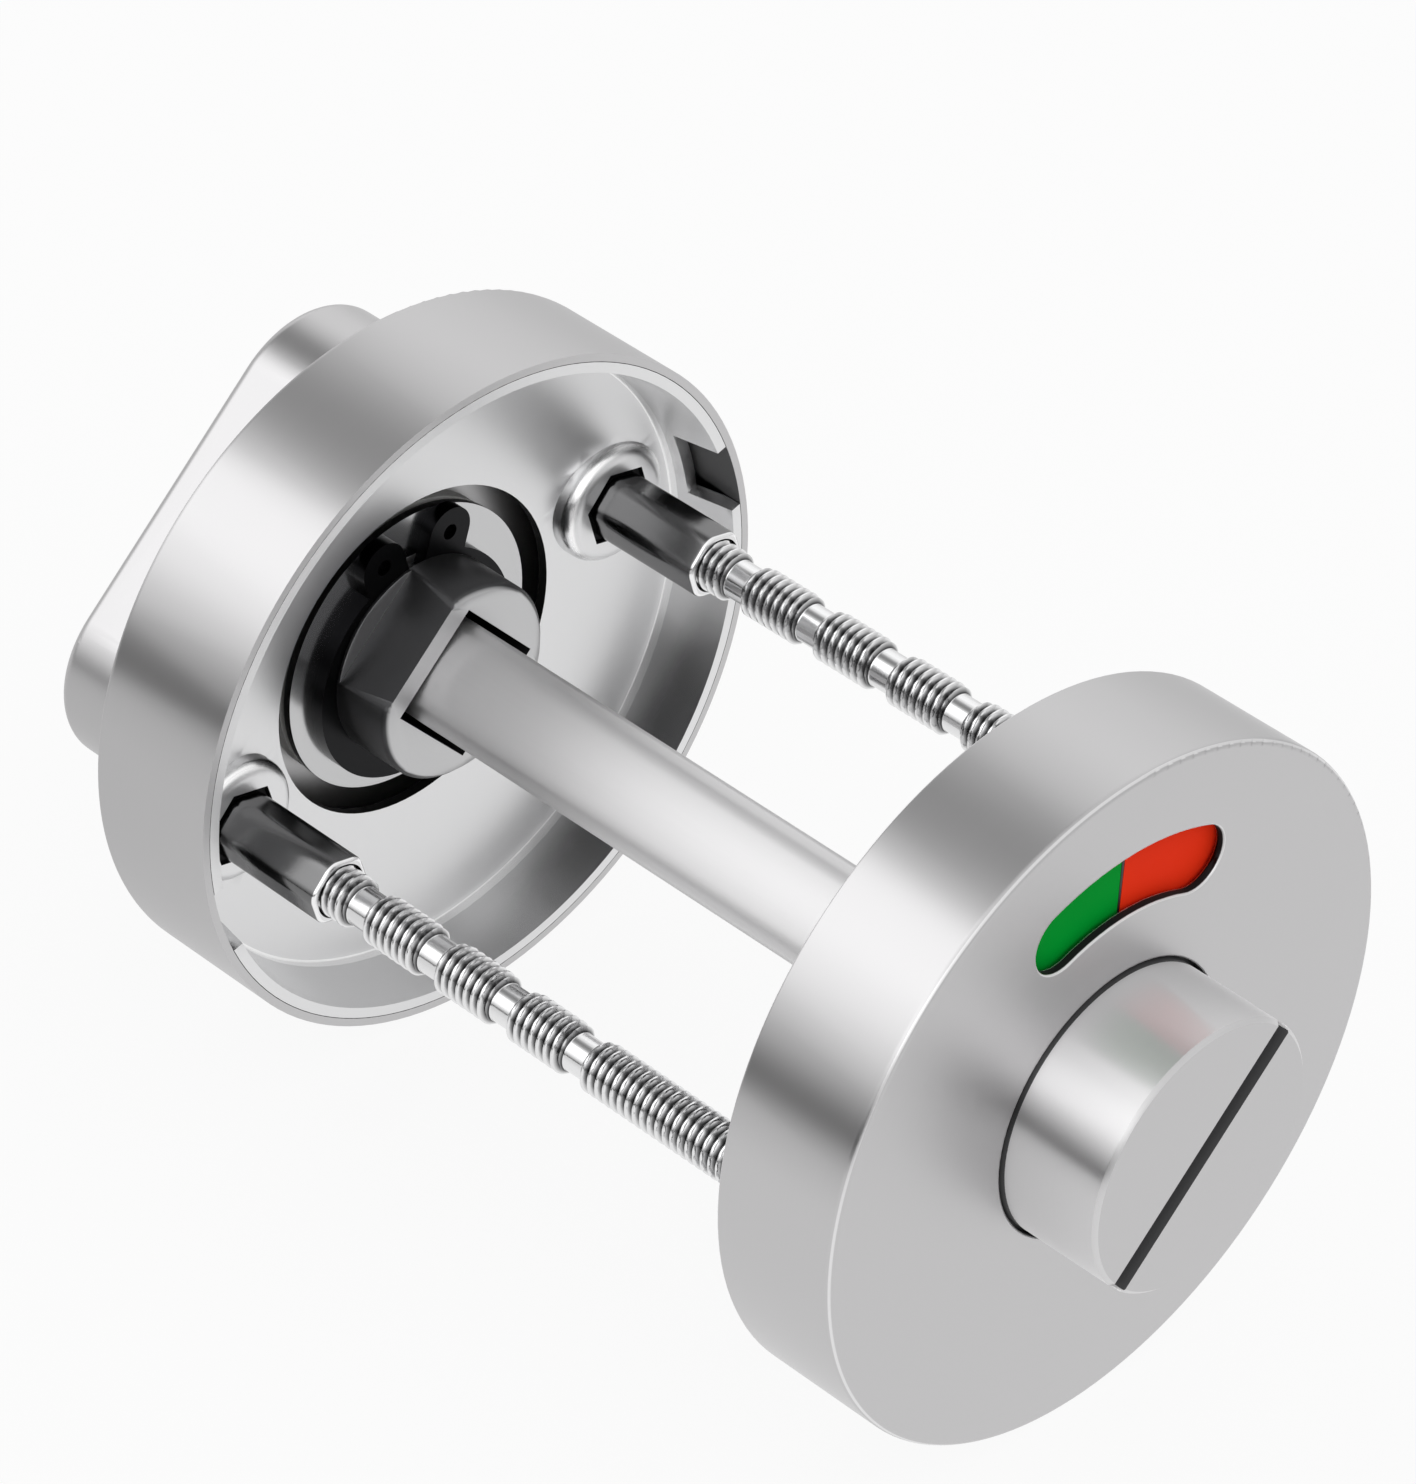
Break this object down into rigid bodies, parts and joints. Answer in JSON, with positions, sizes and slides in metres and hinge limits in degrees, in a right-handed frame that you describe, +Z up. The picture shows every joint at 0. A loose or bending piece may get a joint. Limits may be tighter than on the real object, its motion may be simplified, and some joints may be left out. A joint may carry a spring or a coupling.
{
  "type": "toilet indicator bolt",
  "caption": "Round toilet door indicator bolt: outside rose with coin release and green and red window, inside rose with thumb turn, spindle and break-off bolts between.",
  "frame": {"origin": "on the spindle axis, in the plane of the outside door face", "axes": "+Y along the spindle from the outside rose to the inside rose, +Z up with the window above the coin knob, +X to the right seen from outside"},
  "size_m": [0.052, 0.094, 0.052],
  "materials": {
    "satin_steel": "satin brushed stainless steel",
    "bright_steel": "bright pressed steel",
    "polished_steel": "polished",
    "spring_steel": "spring steel",
    "black_steel": "black phosphated steel",
    "dark_steel": "dark burnished steel",
    "dark_chrome": "dark nickel plate",
    "zinc_plate": "bright zinc plate",
    "black_nylon": "moulded black nylon",
    "white_nylon": "moulded white nylon",
    "green_enamel": "green, semi gloss",
    "red_enamel": "red, semi gloss"
  },
  "bodies": {
    "outside_rose": {"indicator_cover": "satin_steel", "indicator_base_plate": "bright_steel", "release_carrier": "black_nylon", "upper_fixing_bolt": "zinc_plate", "lower_fixing_bolt": "zinc_plate"},
    "coin_release": {"coin_knob": "satin_steel", "indicator_disc": "black_nylon", "vacant_inlay": "green_enamel", "engaged_inlay": "red_enamel", "release_washer": "polished_steel", "release_spring_washer": "spring_steel", "release_snap_ring": "black_steel", "spindle": "satin_steel", "spindle_pin": "spring_steel"},
    "inside_rose": {"turn_cover": "satin_steel", "turn_base_plate": "bright_steel", "turn_bush": "white_nylon", "upper_sleeve_nut": "dark_chrome", "lower_sleeve_nut": "dark_chrome"},
    "turn": {"thumb_turn": "satin_steel", "turn_hub": "dark_steel", "turn_screw": "zinc_plate", "turn_washer": "polished_steel", "turn_spring_washer": "spring_steel", "turn_snap_ring": "black_steel"}
  },
  "joints": [
    {"name": "release_turn", "type": "hinge", "parent": "outside_rose", "child": "coin_release", "pos_m": [0, 0, 0], "axis": [0, 1, 0], "range_deg": [-45, 45]},
    {"name": "door_fit", "type": "slide", "parent": "outside_rose", "child": "inside_rose", "axis": [0, 1, 0], "range_m": [-0.0088, 0.0012]},
    {"name": "inside_turn", "type": "hinge", "parent": "inside_rose", "child": "turn", "pos_m": [0, 0.0488, 0], "axis": [0, 1, 0], "range_deg": [-45, 45]}
  ],
  "couplings": [
    {"joint": "inside_turn", "follows": "release_turn", "ratio": 1}
  ]
}
